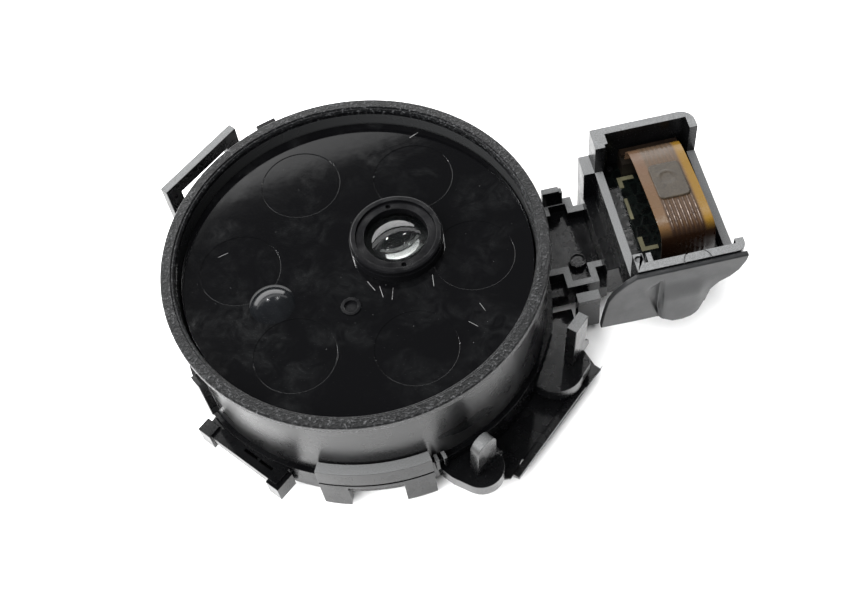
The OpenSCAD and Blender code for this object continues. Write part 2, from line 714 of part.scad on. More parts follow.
module rotor_pcb_chips() color("#1a1a1a") rotate([0, 0, optics_angle])
    translate([0, 0, rotor_pcb_top]) {
        span([-3, 10, 0], [4, 17, 1]);
        span([-2, -17, 0], [3, -12, 1.2]);
        span([19, -2, 0], [22, 2, 1.4]);
        span([8, 13, 0], [10, 16, 0.8]);
    }

lobe_count = 6;
lobe_ring = 20;
plug_ring = 8.8;
plug_angle = -105.5;
plug_r = 1.7;

// Gloss disc with shallow lobes, a skirt and fixing bosses
module scan_disc() color("#08090a") difference() {
    union() {
        post(disc_r, disc_low, disc_top);
        ring(29, disc_r, 17.2, disc_low);
        around(4, post_ring, 45) post(2, rotor_pcb_top, disc_low);
    }
    around(lobe_count, lobe_ring, -10) post(lobe_r, disc_top - 0.12, disc_top + 1);
    at_lens() post(7, 0, drum_h);
    at_emitter() post(dome_r - 0.5, 0, drum_h);
    at_polar(plug_ring, plug_angle) post(plug_r, 0, drum_h);
    around(4, post_ring, 45) post(thread_r, 0, 22.2);
}

module index_plug() color("#101113") at_polar(plug_ring, plug_angle) difference() {
    post(plug_r, disc_low, disc_top + 0.25);
    post(1.15, disc_top - 0.3, drum_h);
}

// ---------- receiver optics ----------

lens_seat = 23.6;
ring_seat = 25.15;
barrel_top = 27.2;

module lens_barrel() color("#0e0f10") at_lens() rotate_extrude()
    polygon([[5.3, rotor_pcb_top], [7, rotor_pcb_top], [7, disc_top], [barrel_r, disc_top],
        [barrel_r, 26.2], [barrel_r - 0.35, 26.2], [barrel_r - 0.35, 26.6], [barrel_r - 0.15, 26.6],
        [barrel_r - 0.15, 27], [barrel_r - 0.4, barrel_top], [6.95, barrel_top], [6.95, ring_seat],
        [6.2, ring_seat], [6.2, lens_seat], [5.3, lens_seat], [5.3, 21.6], [4, 21.6], [4, 21], [5.3, 21]]);

module receiver_lens() color("#cfd8d6", 0.5) at_lens() intersection() {
    translate([0, 0, 17.5]) sphere(r = 9.4);
    translate([0, 0, 36.6]) sphere(r = 14);
    post(6.15, 20, 28);
}

module lens_retainer() color("#17181a") at_lens() difference() {
    ring(5.5, 6.9, ring_seat, 26.7);
    around(2, 6.2, -105) post(0.45, 26, 28);
}

module infrared_filter() color("#3a1f24") at_lens() post(5.2, 21.6, 22.2);

module receiver_sensor() color("#202226") at_lens() span([-2.5, -2.5, rotor_pcb_top], [2.5, 2.5, 20.4]);

// ---------- emitter ----------

dome_ball = (dome_r * dome_r + dome_h * dome_h) / (2 * dome_h);

module emitter_dome() color("#15171a", 0.8) at_emitter() {
    intersection() {
        translate([0, 0, disc_top + dome_h - dome_ball]) sphere(r = dome_ball);
        post(dome_r + 1, disc_top, drum_h);
    }
    post(dome_r - 0.5, disc_low, disc_top + eps);
}

module laser_holder() color("#b08d3c") at_emitter() ring(2.8, 4.4, rotor_pcb_top, disc_low);

module laser_diode() color("#c9a64a") at_emitter() {
    post(2.75, rotor_pcb_top, 20.4);
    post(1.8, 20.4, 21.4);
}

module collimator_lens() color("#cfd8d6", 0.5) at_emitter() intersection() {
    post(2.75, 21.4, 23);
    translate([0, 0, 18.4]) sphere(r = 4.4);
}

lower_housing();
drum_housing();
rim_ring();
rear_latch_hoop();
post_bracket();
side_arm_tray();
connector_box();
box_front_cover();
interface_pcb();
interface_pads();
flex_cable();
flex_stiffener();
rear_flex_connector();
main_flex_connector();
main_pcb();
main_pcb_chips();
board_screws();
arm_screws();
bearing_tube();
motor_screws();
stator_core();
stator_coils();
bearing_outer_races();
coil_stand();
transmit_ferrite();
transmit_coil();
photo_interrupter();
data_photodiode();
scan_disc();
lens_barrel();
receiver_lens();
lens_retainer();
infrared_filter();
emitter_dome();
laser_holder();
laser_diode();
collimator_lens();
index_plug();
rotor_frame();
rotor_screws();
rotor_pcb();
rotor_pcb_chips();
receiver_sensor();
data_led();
receive_ferrite();
receive_coil();
encoder_ring();
balance_weights();
rotor_cup();
magnet_ring();
motor_shaft();
shaft_clip();
bearing_inner_races();
lower_cage();
lower_balls();
upper_cage();
upper_balls();
rear_connector_latch();
main_connector_latch();
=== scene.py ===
"""Lidar scanner module: camera, soft studio light, detailed pieces and procedural materials.

Everything is in metres in the CAD frame: origin on the drum axis at the resting face, +Z up,
+X along the side arm. MM turns millimetres into metres.
"""
import json
import math

import bmesh
import bpy
from mathutils import Matrix, Vector

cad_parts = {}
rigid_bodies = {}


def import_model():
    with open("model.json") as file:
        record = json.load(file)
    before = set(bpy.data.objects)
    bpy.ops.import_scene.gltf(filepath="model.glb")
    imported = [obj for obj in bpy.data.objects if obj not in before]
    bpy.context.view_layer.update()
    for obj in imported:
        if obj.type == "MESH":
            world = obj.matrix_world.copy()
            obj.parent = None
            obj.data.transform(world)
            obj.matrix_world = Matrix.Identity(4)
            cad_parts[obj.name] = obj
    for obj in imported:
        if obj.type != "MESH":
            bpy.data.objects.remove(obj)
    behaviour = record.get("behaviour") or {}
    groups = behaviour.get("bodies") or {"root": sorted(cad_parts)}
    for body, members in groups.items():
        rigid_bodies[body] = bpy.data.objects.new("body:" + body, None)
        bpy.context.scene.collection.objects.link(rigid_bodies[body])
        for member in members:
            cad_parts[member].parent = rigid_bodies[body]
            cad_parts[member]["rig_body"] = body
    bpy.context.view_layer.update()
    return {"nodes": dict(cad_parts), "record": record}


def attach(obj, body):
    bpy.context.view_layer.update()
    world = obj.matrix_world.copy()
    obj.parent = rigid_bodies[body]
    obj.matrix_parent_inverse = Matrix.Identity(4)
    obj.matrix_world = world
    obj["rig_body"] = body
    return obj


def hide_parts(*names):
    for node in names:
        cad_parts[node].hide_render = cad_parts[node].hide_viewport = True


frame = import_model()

MM = 0.001
scene = bpy.context.scene


# ---------------------------------------------------------------- camera, light and floor

CAMERA_PLACE = Vector((3.6, -124.3, 208.0)) * MM
CAMERA_TARGET = Vector((10.6, -7.8, 20.0)) * MM
CAMERA_ROLL = math.radians(-9.4)
FOCAL_PIXELS = 1300
PICTURE_WIDTH = 857


def make_camera():
    data = bpy.data.cameras.new("camera")
    data.sensor_width = 36
    data.lens = data.sensor_width * FOCAL_PIXELS / PICTURE_WIDTH
    data.clip_start = 0.01
    camera = bpy.data.objects.new("camera", data)
    scene.collection.objects.link(camera)
    aim = (CAMERA_TARGET - CAMERA_PLACE).to_track_quat("-Z", "Y").to_matrix().to_4x4()
    camera.matrix_world = Matrix.Translation(CAMERA_PLACE) @ aim @ Matrix.Rotation(CAMERA_ROLL, 4, "Z")
    scene.camera = camera


def area_light(name, place, target, size, power, glossy=True, colour=(1, 1, 1)):
    data = bpy.data.lights.new(name, "AREA")
    data.shape = "RECTANGLE"
    data.size, data.size_y = size
    data.energy = power
    data.color = colour
    light = bpy.data.objects.new(name, data)
    light.location = Vector(place)
    light.rotation_euler = (Vector(target) - Vector(place)).to_track_quat("-Z", "Y").to_euler()
    light.visible_camera = False
    light.visible_glossy = glossy
    light.visible_transmission = glossy
    scene.collection.objects.link(light)


def make_studio():
    """Bright overhead fill over-exposes the floor; dim sky over it keeps gloss faces dark."""
    world = bpy.data.worlds.new("world")
    world.use_nodes = True
    world.node_tree.nodes["Background"].inputs["Color"].default_value = (0.93, 0.95, 1, 1)
    world.node_tree.nodes["Background"].inputs["Strength"].default_value = 0.1
    scene.world = world
    scene.view_settings.view_transform = "Standard"
    # Fill that isn't mirrored in the gloss or seen through the lens; it comes from the left
    area_light("top_fill", (-0.35, -0.05, 0.72), (0, 0, 0), (1.0, 1.0), 28, glossy=False)
    area_light("front_fill", (-0.45, -0.5, 0.35), (0, 0, 0), (0.8, 0.35), 7, glossy=False)
    # Panels behind the object, mirrored in the far half of the disc, fading upwards
    area_light("back_panel", (-0.15, 0.62, 0.3), (0, 0, 0.02), (1.3, 0.3), 5)
    area_light("far_glow", (-0.1, 0.535, 0.57), (0, 0, 0.02), (2.0, 0.14), 1.3)
    area_light("middle_glow", (-0.25, 0.45, 0.62), (0, 0, 0.02), (0.8, 0.06), 0.09)
    area_light("near_glow", (-0.3, 0.4, 0.655), (0, 0, 0.02), (0.6, 0.06), 0.03)
    # Two small lamps for crisp highlights on domes, the lens and bevelled edges
    area_light("left_lamp", (-0.2, 0.4, 0.66), (-0.01, 0, 0.02), (0.03, 0.05), 0.5)
    area_light("right_lamp", (0.22, 0.41, 0.65), (0, 0, 0.02), (0.016, 0.07), 0.4)


# ---------------------------------------------------------------- materials

class Nodes:
    """A material under construction: short calls that add a node and join it up."""

    def __init__(self, name):
        self.material = bpy.data.materials.new(name)
        self.material.use_nodes = True
        self.tree = self.material.node_tree
        self.shader = self.tree.nodes["Principled BSDF"]
        self.coords = self.tree.nodes.new("ShaderNodeTexCoord").outputs["Object"]

    def join(self, source, target):
        self.tree.links.new(source, target)

    def value(self, name, value):
        self.shader.inputs[name].default_value = value

    def noise(self, grain_mm, detail=4, rough=0.55, distortion=0.0, coords=None):
        node = self.tree.nodes.new("ShaderNodeTexNoise")
        node.inputs["Scale"].default_value = 1 / (grain_mm * MM)
        node.inputs["Detail"].default_value = detail
        node.inputs["Roughness"].default_value = rough
        node.inputs["Distortion"].default_value = distortion
        self.join(coords or self.coords, node.inputs["Vector"])
        return node.outputs["Fac"]

    def cells(self, grain_mm, feature="F1", coords=None):
        node = self.tree.nodes.new("ShaderNodeTexVoronoi")
        node.feature = feature
        node.inputs["Scale"].default_value = 1 / (grain_mm * MM)
        self.join(coords or self.coords, node.inputs["Vector"])
        return node.outputs["Distance"]

    def ramp(self, source, low, high, out_low=0.0, out_high=1.0):
        node = self.tree.nodes.new("ShaderNodeMapRange")
        node.inputs["From Min"].default_value = low
        node.inputs["From Max"].default_value = high
        node.inputs["To Min"].default_value = out_low
        node.inputs["To Max"].default_value = out_high
        self.join(source, node.inputs["Value"])
        return node.outputs["Result"]

    def math(self, operation, a, b=None):
        node = self.tree.nodes.new("ShaderNodeMath")
        node.operation = operation
        for i, value in enumerate((a, b)):
            if value is None:
                continue
            if isinstance(value, (int, float)):
                node.inputs[i].default_value = value
            else:
                self.join(value, node.inputs[i])
        return node.outputs[0]

    def mix(self, factor, a, b):
        node = self.tree.nodes.new("ShaderNodeMix")
        node.data_type = "RGBA"
        self.join(factor, node.inputs["Factor"])
        for socket, value in ((node.inputs["A"], a), (node.inputs["B"], b)):
            if isinstance(value, tuple):
                socket.default_value = (*value, 1)
            else:
                self.join(value, socket)
        return node.outputs["Result"]

    def axis(self, index, coords=None):
        node = self.tree.nodes.new("ShaderNodeSeparateXYZ")
        self.join(coords or self.coords, node.inputs[0])
        return node.outputs[index]

    def stroke(self, start, end, half_width_mm, strength):
        """A thin straight scratch on an upward face, broken up along its length."""
        a, b = Vector((*start, 0)) * MM, Vector((*end, 0)) * MM
        along = (b - a).normalized()
        across = Vector((-along.y, along.x, 0))
        spans = []
        for axis in (along, across):
            node = self.tree.nodes.new("ShaderNodeVectorMath")
            node.operation = "DOT_PRODUCT"
            self.join(self.coords, node.inputs[0])
            node.inputs[1].default_value = axis
            spans.append(self.math("SUBTRACT", node.outputs["Value"], a.dot(axis)))
        length = (b - a).length
        end_fade = 0.1 * length
        run = self.math("MULTIPLY", self.ramp(spans[0], 0, end_fade),
                        self.ramp(spans[0], length, length - end_fade))
        width = half_width_mm * MM
        near = self.ramp(self.math("ABSOLUTE", spans[1]), width, 0.4 * width)
        broken = self.ramp(self.noise(0.8, detail=1), 0.3, 0.5, 0.3 * strength, strength)
        return self.math("MULTIPLY", self.math("MULTIPLY", run, near), broken)

    def bump(self, height, depth_mm, strength=1.0, after=None):
        node = self.tree.nodes.new("ShaderNodeBump")
        node.inputs["Distance"].default_value = depth_mm * MM
        node.inputs["Strength"].default_value = strength
        self.join(height, node.inputs["Height"])
        if after:
            self.join(after, node.inputs["Normal"])
        return node.outputs["Normal"]


def moulded(name, dark, light, rough, grain_mm=0.25, depth_mm=0.02, dust=0.12, blotch_mm=7,
            rough_and_lit_above_mm=None, painted_top_light=0.04, specular=0.5):
    """Moulded plastic: cloudy tone, fine grain, uneven sheen and a little pale dust.

    Upward faces above the given height get the rougher finish of eroded steel, and a paler colour that is
    painted light from above."""
    n = Nodes(name)
    n.value("Specular IOR Level", specular)
    cloud = n.noise(blotch_mm, detail=5, rough=0.6)
    tone = n.mix(n.ramp(cloud, 0.35, 0.68), dark, light)
    speck = n.ramp(n.noise(0.45, detail=2, rough=0.5), 0.73, 0.78, 0, dust)
    sheen = n.ramp(n.noise(2.5, detail=4), 0.3, 0.7, rough - 0.07, rough + 0.09)
    height = n.noise(grain_mm, detail=3, rough=0.6)
    if rough_and_lit_above_mm is not None:
        facing = n.tree.nodes.new("ShaderNodeNewGeometry").outputs["Normal"]
        up = n.ramp(n.axis(2, facing), 0.55, 0.8)
        high = n.ramp(n.axis(2), rough_and_lit_above_mm * MM, (rough_and_lit_above_mm + 0.3) * MM)
        top = n.math("MULTIPLY", up, high)
        grit = n.noise(0.16, detail=2)
        # Painted light: high upward faces are painted paler, as if lit from above; the extra roughness below
        # is the real finish.
        pale = n.mix(n.ramp(grit, 0.3, 0.72), (painted_top_light * 0.6,) * 3, (painted_top_light * 1.35, painted_top_light * 1.38, painted_top_light * 1.4))
        tone = n.mix(top, tone, pale)
        sheen = n.math("ADD", sheen, n.math("MULTIPLY", top, 0.62 - rough))
    n.join(n.mix(speck, tone, (0.2, 0.2, 0.2)), n.shader.inputs["Base Color"])
    n.join(sheen, n.shader.inputs["Roughness"])
    fine = n.bump(height, depth_mm)
    n.join(n.bump(cloud, 0.03, 0.4, after=fine), n.shader.inputs["Normal"])
    return n.material


def metal(name, colour, rough, grain_mm=0.3, shade=0.7):
    """Worked metal with fine streaks of tone and sheen."""
    n = Nodes(name)
    n.value("Metallic", 1.0)
    streak = n.noise(grain_mm, detail=4, rough=0.6, distortion=0.6)
    low = tuple(c * shade for c in colour)
    n.join(n.mix(streak, low, colour), n.shader.inputs["Base Color"])
    n.join(n.ramp(streak, 0.3, 0.7, rough - 0.06, rough + 0.1), n.shader.inputs["Roughness"])
    n.join(n.bump(streak, 0.01, 0.5), n.shader.inputs["Normal"])
    return n.material


def centre_and_radius(node):
    """Middle in X and Y, and half the width, of a round CAD node, in mm."""
    corners = [Vector(corner) / MM for corner in frame["nodes"][node].bound_box]
    low = [min(corner[i] for corner in corners) for i in range(2)]
    high = [max(corner[i] for corner in corners) for i in range(2)]
    return Vector(((low[0] + high[0]) / 2, (low[1] + high[1]) / 2)), (high[0] - low[0]) / 2


def direction(degrees):
    """Unit vector in the disc's plane."""
    return Vector((math.cos(math.radians(degrees)), math.sin(math.radians(degrees))))


def disc_scratches():
    """Short hairlines, each at its own slant, in front of the lens and near the disc's edge."""
    lens, lens_reach = centre_and_radius("lens_barrel")
    disc, disc_reach = centre_and_radius("scan_disc")
    # Each group: centre, distance from it, angles round it, length, half width, strength
    groups = [(lens, lens_reach + 1, (-60, -105, -120, -135), 2.5, 0.07, 0.45),
              (disc, 0.75 * disc_reach, (-35, -45, 160), 2, 0.06, 0.4),
              (disc, 0.92 * disc_reach, (60,), 2, 0.08, 0.5)]
    for centre, radius, angles, length, half_width, strength in groups:
        for k, angle in enumerate(angles):
            start = centre + radius * direction(angle)
            yield start, start + length * direction(angle + 35 * (k - 1)), half_width, strength


def gloss_disc():
    """Polished black with cloudy smudges, pale dust and a few short hairlines."""
    n = Nodes("disc_gloss_black")
    smudge = n.noise(11, detail=8, rough=0.62, distortion=0.5)
    wipe = n.noise(3.6, detail=6, rough=0.6, distortion=1.4)
    haze = n.math("MULTIPLY", n.ramp(smudge, 0.44, 0.74), n.ramp(wipe, 0.38, 0.72))
    dust = n.ramp(n.cells(1.1), 0.05, 0.03, 0, 1)
    dust = n.math("MULTIPLY", dust, n.ramp(n.noise(2.2, detail=1), 0.56, 0.62))
    mark = n.math("MULTIPLY", dust, 0.35)
    for start, end, width, strength in disc_scratches():
        mark = n.math("MAXIMUM", mark, n.stroke(start, end, width, strength))
    tone = n.mix(haze, (0.0012, 0.0012, 0.0014), (0.007, 0.0073, 0.0075))
    n.join(n.mix(mark, tone, (0.3, 0.3, 0.3)), n.shader.inputs["Base Color"])
    n.join(n.ramp(haze, 0, 1, 0.06, 0.2), n.shader.inputs["Roughness"])
    n.join(n.bump(n.noise(6, detail=3), 0.03, 0.25), n.shader.inputs["Normal"])
    return n.material


def satin_wall():
    """Satin drum wall: soft vertical rubs over a near-black base."""
    n = Nodes("drum_satin_black")
    n.value("Specular IOR Level", 0.28)
    rub = n.noise(6, detail=3, rough=0.5, distortion=0.5)
    tone = n.mix(n.ramp(rub, 0.4, 0.7), (0.004, 0.004, 0.0042), (0.008, 0.0082, 0.0085))
    radius = n.math("SQRT", n.math("ADD", n.math("POWER", n.axis(0), 2), n.math("POWER", n.axis(1), 2)))
    bore = n.ramp(radius, 31.2 * MM, 30.9 * MM)
    n.join(n.mix(bore, tone, (0.02, 0.0205, 0.021)), n.shader.inputs["Base Color"])
    n.join(n.ramp(rub, 0.3, 0.75, 0.24, 0.34), n.shader.inputs["Roughness"])
    fine = n.bump(n.noise(0.4, detail=3), 0.006)
    n.join(n.bump(rub, 0.02, 0.5, after=fine), n.shader.inputs["Normal"])
    return n.material


def eroded_rim():
    """Spark-eroded rim: coarse sparkling grain with worn, paler high spots."""
    n = Nodes("rim_spark_texture")
    grain = n.noise(0.42, detail=3, rough=0.65)
    cells = n.cells(0.34)
    high = n.ramp(grain, 0.55, 0.72)
    n.join(n.mix(high, (0.0015, 0.0016, 0.0018), (0.05, 0.051, 0.053)), n.shader.inputs["Base Color"])
    n.join(n.ramp(grain, 0.35, 0.7, 0.5, 0.3), n.shader.inputs["Roughness"])
    coarse = n.bump(grain, 0.16, 1.0)
    n.join(n.bump(cells, 0.05, 0.6, after=coarse), n.shader.inputs["Normal"])
    return n.material


def clear_glass(name, tint, rough=0.02, coat=0.3):
    n = Nodes(name)
    n.value("Transmission Weight", 1.0)
    n.value("IOR", 1.5)
    n.value("Coat Weight", coat)
    smear = n.noise(1.6, detail=5, distortion=0.8)
    n.join(n.mix(n.ramp(smear, 0.3, 0.7), tint, tuple(min(1, c * 1.12) for c in tint)),
           n.shader.inputs["Base Color"])
    n.join(n.ramp(smear, 0.35, 0.75, rough, rough + 0.08), n.shader.inputs["Roughness"])
    return n.material


def solder_mask(name, dark, light):
    """Circuit board: mask over faint copper runs and weave."""
    n = Nodes(name)
    runs = n.cells(2.2, feature="DISTANCE_TO_EDGE")
    copper = n.ramp(runs, 0.06, 0.1)
    n.value("Specular IOR Level", 0.3)
    n.join(n.mix(copper, light, dark), n.shader.inputs["Base Color"])
    n.join(n.ramp(n.noise(1.2), 0.3, 0.7, 0.22, 0.36), n.shader.inputs["Roughness"])
    n.join(n.bump(copper, 0.03, 0.5), n.shader.inputs["Normal"])
    return n.material


def black_housing(name, rough_and_lit_above_mm=None, specular=0.34):
    """Glossy black moulding; above the given height its upward faces are rougher and painted paler, as if
    lit from above.
    """
    return moulded(name, (0.0012, 0.0012, 0.0014), (0.003, 0.0031, 0.0033), 0.24, 0.3, 0.01,
                   dust=0.1, rough_and_lit_above_mm=rough_and_lit_above_mm, painted_top_light=0.1, specular=specular)


MATERIALS = {
    "housing_black": black_housing("housing_black"),
    "drum_black": satin_wall(),
    "rim_texture": eroded_rim(),
    "box_grey_black": moulded("box_grey_black", (0.008, 0.0082, 0.0085), (0.014, 0.0144, 0.015),
                              0.38, 0.22, 0.01, specular=0.34),
    "disc_gloss": gloss_disc(),
    "barrel_black": moulded("barrel_black", (0.0015, 0.0015, 0.0017), (0.004, 0.004, 0.0045),
                            0.2, 0.5, 0.005, 0.05),
    "lens_glass": clear_glass("lens_glass", (0.86, 0.9, 0.88)),
    "filter_glass": clear_glass("filter_glass", (0.22, 0.18, 0.17), 0.05),
    "dome_black": moulded("dome_black", (0.002, 0.0022, 0.0026), (0.006, 0.0066, 0.0075),
                          0.14, 0.8, 0.003, 0.06),
    "board_green": solder_mask("board_green", (0.006, 0.04, 0.02), (0.015, 0.08, 0.035)),
    "board_black": solder_mask("board_black", (0.0006, 0.0008, 0.0008), (0.0014, 0.002, 0.0018)),
    "pad_gold": moulded("pad_gold", (0.035, 0.033, 0.02), (0.07, 0.066, 0.04), 0.4, 0.3, 0.01),
    "connector_ivory": moulded("connector_ivory", (0.003, 0.0024, 0.002), (0.006, 0.005, 0.004),
                               0.42, specular=0.3),
    "latch_brown": moulded("latch_brown", (0.004, 0.0025, 0.002), (0.009, 0.006, 0.004), 0.4, specular=0.3),
    "chip_black": moulded("chip_black", (0.015, 0.015, 0.016), (0.03, 0.03, 0.032), 0.5),
    "led_clear": clear_glass("led_clear", (0.85, 0.88, 0.9), 0.1),
    "screw_steel": metal("screw_steel", (0.62, 0.63, 0.65), 0.3),
    "bearing_steel": metal("bearing_steel", (0.7, 0.71, 0.73), 0.2),
    "ball_chrome": metal("ball_chrome", (0.82, 0.83, 0.85), 0.1),
    "cage_brass": metal("cage_brass", (0.62, 0.48, 0.24), 0.35),
    "tube_brass": metal("tube_brass", (0.66, 0.5, 0.24), 0.3),
    "lamination_steel": metal("lamination_steel", (0.42, 0.43, 0.45), 0.4, 0.15),
    "coil_copper": metal("coil_copper", (0.62, 0.28, 0.12), 0.35, 0.15),
    "ferrite_grey": moulded("ferrite_grey", (0.05, 0.047, 0.05), (0.09, 0.085, 0.09), 0.6),
    "magnet_grey": metal("magnet_grey", (0.26, 0.255, 0.26), 0.4),
}


# ---------------------------------------------------------------- pieces built from the CAD nodes

def slot_of(node):
    return next(s["material_slot"] for s in frame["record"]["subparts"] if s["node"] == node)


def body_with(node):
    return frame["nodes"][node]["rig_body"]


def place(piece, node, *more):
    """A finished piece stands for its CAD node: same body, and the node is hidden."""
    scene.collection.objects.link(piece)
    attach(piece, body_with(node))
    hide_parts(node, *more)
    return piece


def shade(mesh, angle=30):
    for polygon in mesh.polygons:
        polygon.use_smooth = True
    mesh.set_sharp_from_angle(angle=math.radians(angle))


def even_normals(piece):
    """Flat faces stay flat beside their rounded edges."""
    weighted = piece.modifiers.new("even_normals", "WEIGHTED_NORMAL")
    weighted.keep_sharp = True


def softened(node, radius_mm, segments=2, angle=32, material=None):
    """A copy of a CAD node with its edges rounded as a mould leaves them."""
    mesh = bpy.data.meshes.new(node + "_soft")
    bm = bmesh.new()
    bm.from_mesh(frame["nodes"][node].data)
    bmesh.ops.remove_doubles(bm, verts=bm.verts, dist=0.02 * MM)
    bmesh.ops.dissolve_limit(bm, angle_limit=math.radians(0.5), verts=bm.verts, edges=bm.edges)
    bm.normal_update()
    sharp = [e for e in bm.edges if len(e.link_faces) == 2 and e.calc_face_angle(0) > math.radians(angle)]
    bmesh.ops.bevel(bm, geom=sharp, offset=radius_mm * MM, segments=segments, profile=0.6,
                    affect="EDGES", clamp_overlap=False, offset_type="OFFSET")
    bm.to_mesh(mesh)
    bm.free()
    shade(mesh, 40)
    mesh.materials.clear()
    mesh.materials.append(material or MATERIALS[slot_of(node)])
    piece = place(bpy.data.objects.new(node + "_soft", mesh), node)
    even_normals(piece)
    return piece


SOFT_EDGES = {
    "lower_housing": 0.1, "drum_housing": 0.1, "rear_latch_hoop": 0.16, "post_bracket": 0.14,
    "side_arm_tray": 0.1, "connector_box": 0.09, "scan_disc": 0.05,
    "lens_barrel": 0.06, "lens_retainer": 0.05, "index_plug": 0.06, "rim_ring": 0.06,
}


# Height in mm above which the upward faces of a moulding are rougher and painted paler, as if lit from above
ROUGH_AND_LIT_TOPS = {"connector_box": 18.8, "side_arm_tray": 9.6, "post_bracket": 8.8,
              "rear_latch_hoop": 7, "lower_housing": 11}
# Level of mirror reflection where a moulding differs from the rest
SPECULAR = {"lower_housing": 0.2, "post_bracket": 0.6}


def finish_cad_nodes():
    for name, node in frame["nodes"].items():
        if name in SOFT_EDGES:
            tops = ROUGH_AND_LIT_TOPS.get(name)
            material = tops and black_housing("housing_black_" + name, tops, SPECULAR.get(name, 0.34))
            softened(name, SOFT_EDGES[name], material=material)
        elif name not in ("flex_cable", "flex_stiffener", "box_front_cover"):
            node.data.materials.clear()
            node.data.materials.append(MATERIALS[slot_of(name)])


# ---------------------------------------------------------------- flex cable

FLEX_T = 0.1
FLEX_LEFT, FLEX_RIGHT = 50.7, 60.0
# Route over the board and back under it, in Y and Z of the box
FLEX_ARCH = [(12.4, 17.8), (12.4, 20.4), (12.2, 22), (11.8, 23), (10.8, 24), (9, 24.6), (7, 25),
             (4, 25.4), (1, 25.8), (-4.5, 26.2), (-7.4, 26.2), (-8.6, 25.8), (-9.3, 24.6),
             (-9.7, 22.5), (-10, 20), (-10, 16), (-9.7, 15), (-9, 14.7), (5.2, 14.7)]
# Run under the board and down to the main board, in X and Z
FLEX_RUN = [(60, 14.5), (48.6, 14.5), (47.8, 14.2), (47.35, 13.4), (47.3, 12), (47.2, 8),
            (46.9, 6.9), (46.2, 6.1), (45.2, 5.9), (28.2, 5.9), (27.2, 5.3), (26.4, 4.5),
            (25.6, 4.3), (24.6, 4.3)]
FLEX_RUN_Y = (-3.2, 6.1)
TRACE_FIRST, TRACE_LAST, TRACE_PITCH = 53.0, 58.0, 0.83


def smooth_route(points, steps=8):
    """Catmull-Rom curve through 2D points."""
    padded = [points[0], *points, points[-1]]
    route = []
    for a, b, c, d in zip(padded, padded[1:], padded[2:], padded[3:]):
        for k in range(steps):
            t = k / steps
            route.append(tuple(
                0.5 * (2 * b[i] + (c[i] - a[i]) * t + (2 * a[i] - 5 * b[i] + 4 * c[i] - d[i]) * t * t
                       + (3 * b[i] - a[i] - 3 * c[i] + d[i]) * t ** 3) for i in range(2)))
    route.append(points[-1])
    return route


def sweep(route, profile, to_3d):
    """Closed band: the profile's (across, up) points carried along a 2D route."""
    rings = []
    for i, point in enumerate(route):
        ahead = route[min(i + 1, len(route) - 1)]
        behind = route[max(i - 1, 0)]
        along = Vector((ahead[0] - behind[0], ahead[1] - behind[1])).normalized()
        up = Vector((-along[1], along[0]))
        rings.append([to_3d(across, point[0] + up[0] * h, point[1] + up[1] * h) for across, h in profile])
    bm = bmesh.new()
    rows = [[bm.verts.new(Vector(p) * MM) for p in ring] for ring in rings]
    count = len(profile)
    for one, two in zip(rows, rows[1:]):
        for j in range(count):
            bm.faces.new((one[j], one[(j + 1) % count], two[(j + 1) % count], two[j]))
    bm.faces.new(rows[0])
    bm.faces.new(list(reversed(rows[-1])))
    bmesh.ops.recalc_face_normals(bm, faces=bm.faces)
    return bm


def ribbed_profile(left, right, ridges=True, sign=1):
    """Thin band whose outer face has a low ridge over each conductor."""
    outer = []
    steps = 90
    for k in range(steps + 1):
        x = left + (right - left) * k / steps
        lift = 0.0
        if ridges and TRACE_FIRST - 0.4 < x < TRACE_LAST + 0.4:
            lift = 0.035 * (0.5 + 0.5 * math.cos(2 * math.pi * (x - TRACE_FIRST) / TRACE_PITCH)) ** 0.7
        outer.append((x, sign * (FLEX_T + lift)))
    return outer + [(right, -sign * FLEX_T), (left, -sign * FLEX_T)]


